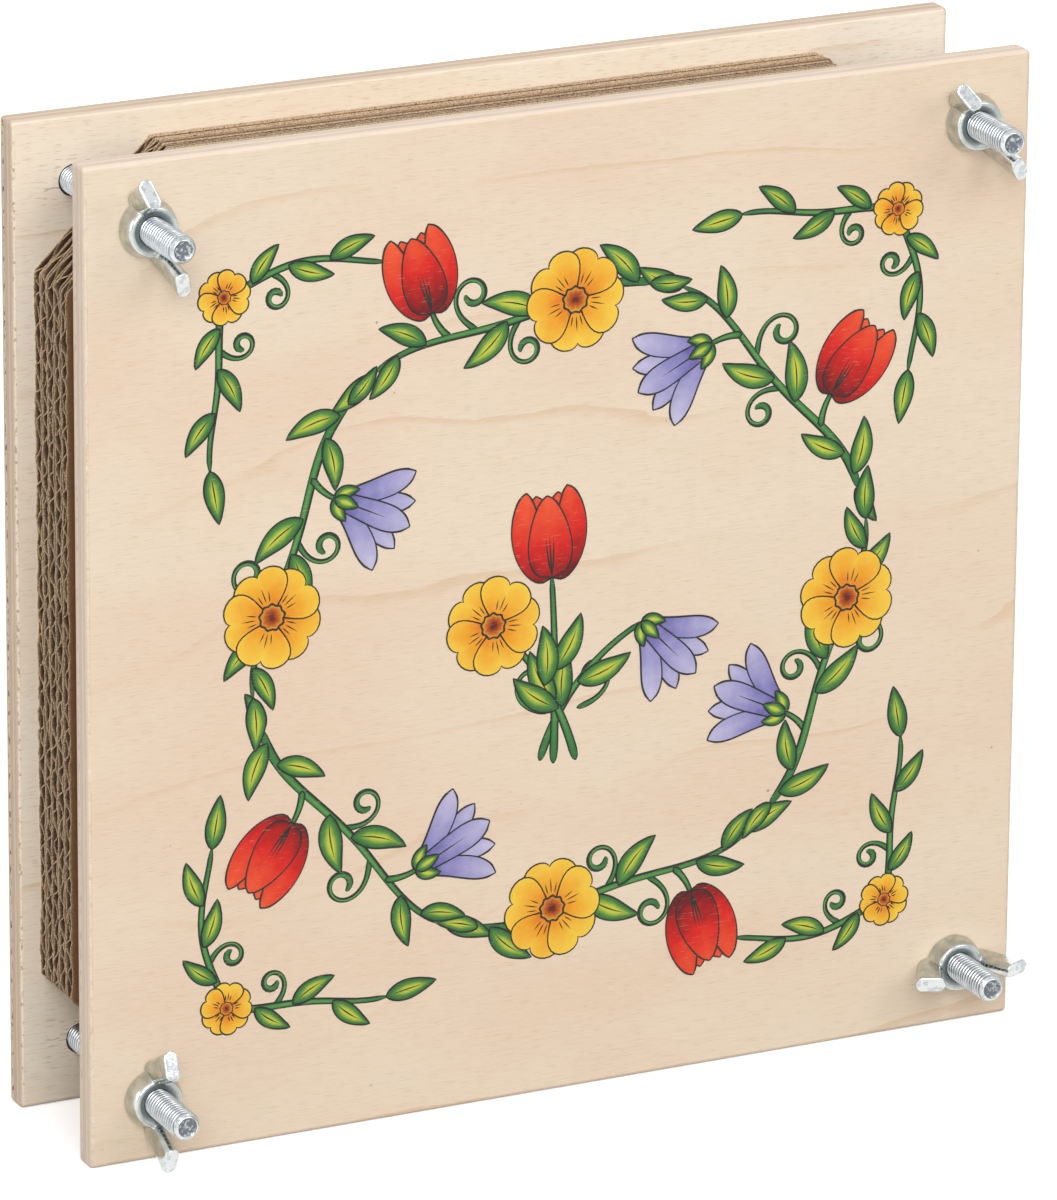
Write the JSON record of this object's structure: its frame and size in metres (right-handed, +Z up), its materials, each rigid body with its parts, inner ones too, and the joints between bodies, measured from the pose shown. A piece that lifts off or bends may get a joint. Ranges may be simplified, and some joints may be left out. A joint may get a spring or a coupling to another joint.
{
  "type": "flower press",
  "caption": "Square plywood flower press: boards drawn together along corner bolts by wing nuts, over a stack of corrugated cards and blotting papers.",
  "frame": {"origin": "below the middle of the press: halfway across the boards, halfway from the bolt heads to the bolt tips, at the boards' lower edges", "axes": "+Z up, +X along the boards' width, -Y to the front, the way the bolts point"},
  "size_m": [0.21, 0.064, 0.21],
  "materials": {
    "plywood": "sanded birch plywood",
    "zinc_plated_bolt": "bright zinc plate",
    "zinc_plated_nut": "satin zinc plate",
    "corrugated_card": "brown kraft corrugated board",
    "blotting_paper": "soft absorbent paper"
  },
  "bodies": {
    "rear_frame": {"rear_board": "plywood", "carriage_bolt_1": "zinc_plated_bolt", "carriage_bolt_2": "zinc_plated_bolt", "carriage_bolt_3": "zinc_plated_bolt", "carriage_bolt_4": "zinc_plated_bolt"},
    "front_plate": {"front_board": "plywood"},
    "wing_nut_1": {"wing_nut_1": "zinc_plated_nut"},
    "wing_nut_2": {"wing_nut_2": "zinc_plated_nut"},
    "wing_nut_3": {"wing_nut_3": "zinc_plated_nut"},
    "wing_nut_4": {"wing_nut_4": "zinc_plated_nut"},
    "leaf_1": {"corrugated_card_1": "corrugated_card", "blotting_paper_1": "blotting_paper"},
    "leaf_2": {"blotting_paper_2": "blotting_paper", "corrugated_card_2": "corrugated_card", "blotting_paper_3": "blotting_paper"},
    "leaf_3": {"blotting_paper_4": "blotting_paper", "corrugated_card_3": "corrugated_card", "blotting_paper_5": "blotting_paper"},
    "leaf_4": {"blotting_paper_6": "blotting_paper", "corrugated_card_4": "corrugated_card", "blotting_paper_7": "blotting_paper"},
    "leaf_5": {"blotting_paper_8": "blotting_paper", "corrugated_card_5": "corrugated_card"}
  },
  "joints": [
    {"name": "press_travel", "type": "slide", "parent": "rear_frame", "child": "front_plate", "axis": [0, -1, 0], "range_m": [-0.0138, 0.0135]},
    {"name": "wing_nut_1_spin", "type": "hinge", "parent": "front_plate", "child": "wing_nut_1", "pos_m": [-0.0915, -0.01395, 0.1965], "axis": [0, -1, 0], "continuous": true},
    {"name": "wing_nut_2_spin", "type": "hinge", "parent": "front_plate", "child": "wing_nut_2", "pos_m": [0.0915, -0.01395, 0.1965], "axis": [0, -1, 0], "continuous": true},
    {"name": "wing_nut_3_spin", "type": "hinge", "parent": "front_plate", "child": "wing_nut_3", "pos_m": [-0.0915, -0.01395, 0.0135], "axis": [0, -1, 0], "continuous": true},
    {"name": "wing_nut_4_spin", "type": "hinge", "parent": "front_plate", "child": "wing_nut_4", "pos_m": [0.0915, -0.01395, 0.0135], "axis": [0, -1, 0], "continuous": true},
    {"name": "leaf_1_slide", "type": "slide", "parent": "rear_frame", "child": "leaf_1", "axis": [0, -1, 0], "range_m": [0, 0.0055]},
    {"name": "leaf_2_slide", "type": "slide", "parent": "leaf_1", "child": "leaf_2", "axis": [0, -1, 0], "range_m": [0, 0.0055]},
    {"name": "leaf_3_slide", "type": "slide", "parent": "leaf_2", "child": "leaf_3", "axis": [0, -1, 0], "range_m": [0, 0.0055]},
    {"name": "leaf_4_slide", "type": "slide", "parent": "leaf_3", "child": "leaf_4", "axis": [0, -1, 0], "range_m": [0, 0.0055]},
    {"name": "leaf_5_slide", "type": "slide", "parent": "leaf_4", "child": "leaf_5", "axis": [0, -1, 0], "range_m": [0, 0.0055]}
  ],
  "couplings": [
    {"joint": "wing_nut_1_spin", "follows": "press_travel", "rad_per_m": 6283.2},
    {"joint": "wing_nut_2_spin", "follows": "press_travel", "rad_per_m": 6283.2},
    {"joint": "wing_nut_3_spin", "follows": "press_travel", "rad_per_m": 6283.2},
    {"joint": "wing_nut_4_spin", "follows": "press_travel", "rad_per_m": 6283.2}
  ]
}
